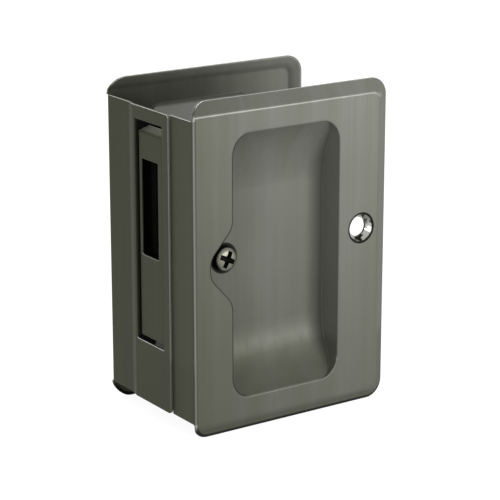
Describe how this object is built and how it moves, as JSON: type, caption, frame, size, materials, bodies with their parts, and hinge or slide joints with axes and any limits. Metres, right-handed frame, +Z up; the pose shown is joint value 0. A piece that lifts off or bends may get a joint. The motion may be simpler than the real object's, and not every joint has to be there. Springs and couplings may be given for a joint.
{
  "type": "pocket door lock receiver",
  "caption": "Adjustable pocket door lock receiver: stamped face plates with flush cup pulls, a stepped edge leaf and a swing-out edge pull with a hook slot.",
  "frame": {"origin": "middle of the foot of the bounding box, where the plates' lower edges stand", "axes": "+X from the door edge into the door, +Y from the front face to the rear face, +Z up the door"},
  "size_m": [0.0578, 0.0392, 0.0825],
  "materials": {
    "shell_finish": "satin dark antique nickel plating on sheet brass",
    "pull_finish": "satin dark antique nickel plating on sheet brass",
    "screw_metal": "bright plated steel, darkened",
    "post_brass": "turned brass, dark plated",
    "black_steel": "black oxide",
    "pin_steel": "turned",
    "spring_steel": "drawn wire"
  },
  "bodies": {
    "rear": {"rear_shell": "shell_finish", "receiver_case": "black_steel", "strike_plate": "black_steel", "clamp_post": "post_brass", "pull_pin": "pin_steel", "pull_spring": "spring_steel"},
    "front": {"front_shell": "shell_finish", "clamp_screw": "screw_metal"},
    "pull": {"edge_pull": "pull_finish"}
  },
  "joints": [
    {"name": "thickness_adjust", "type": "slide", "parent": "rear", "child": "front", "axis": [0, -1, 0], "range_m": [0, 0.00953]},
    {"name": "pull_swing", "type": "hinge", "parent": "rear", "child": "pull", "pos_m": [-0.0248, -0.00071, 0.02388], "axis": [0, -1, 0], "range_deg": [0, 75], "stiffness_Nm_per_rad": 0.0025, "springref_deg": -91.67, "deforming": ["pull_spring"]}
  ]
}
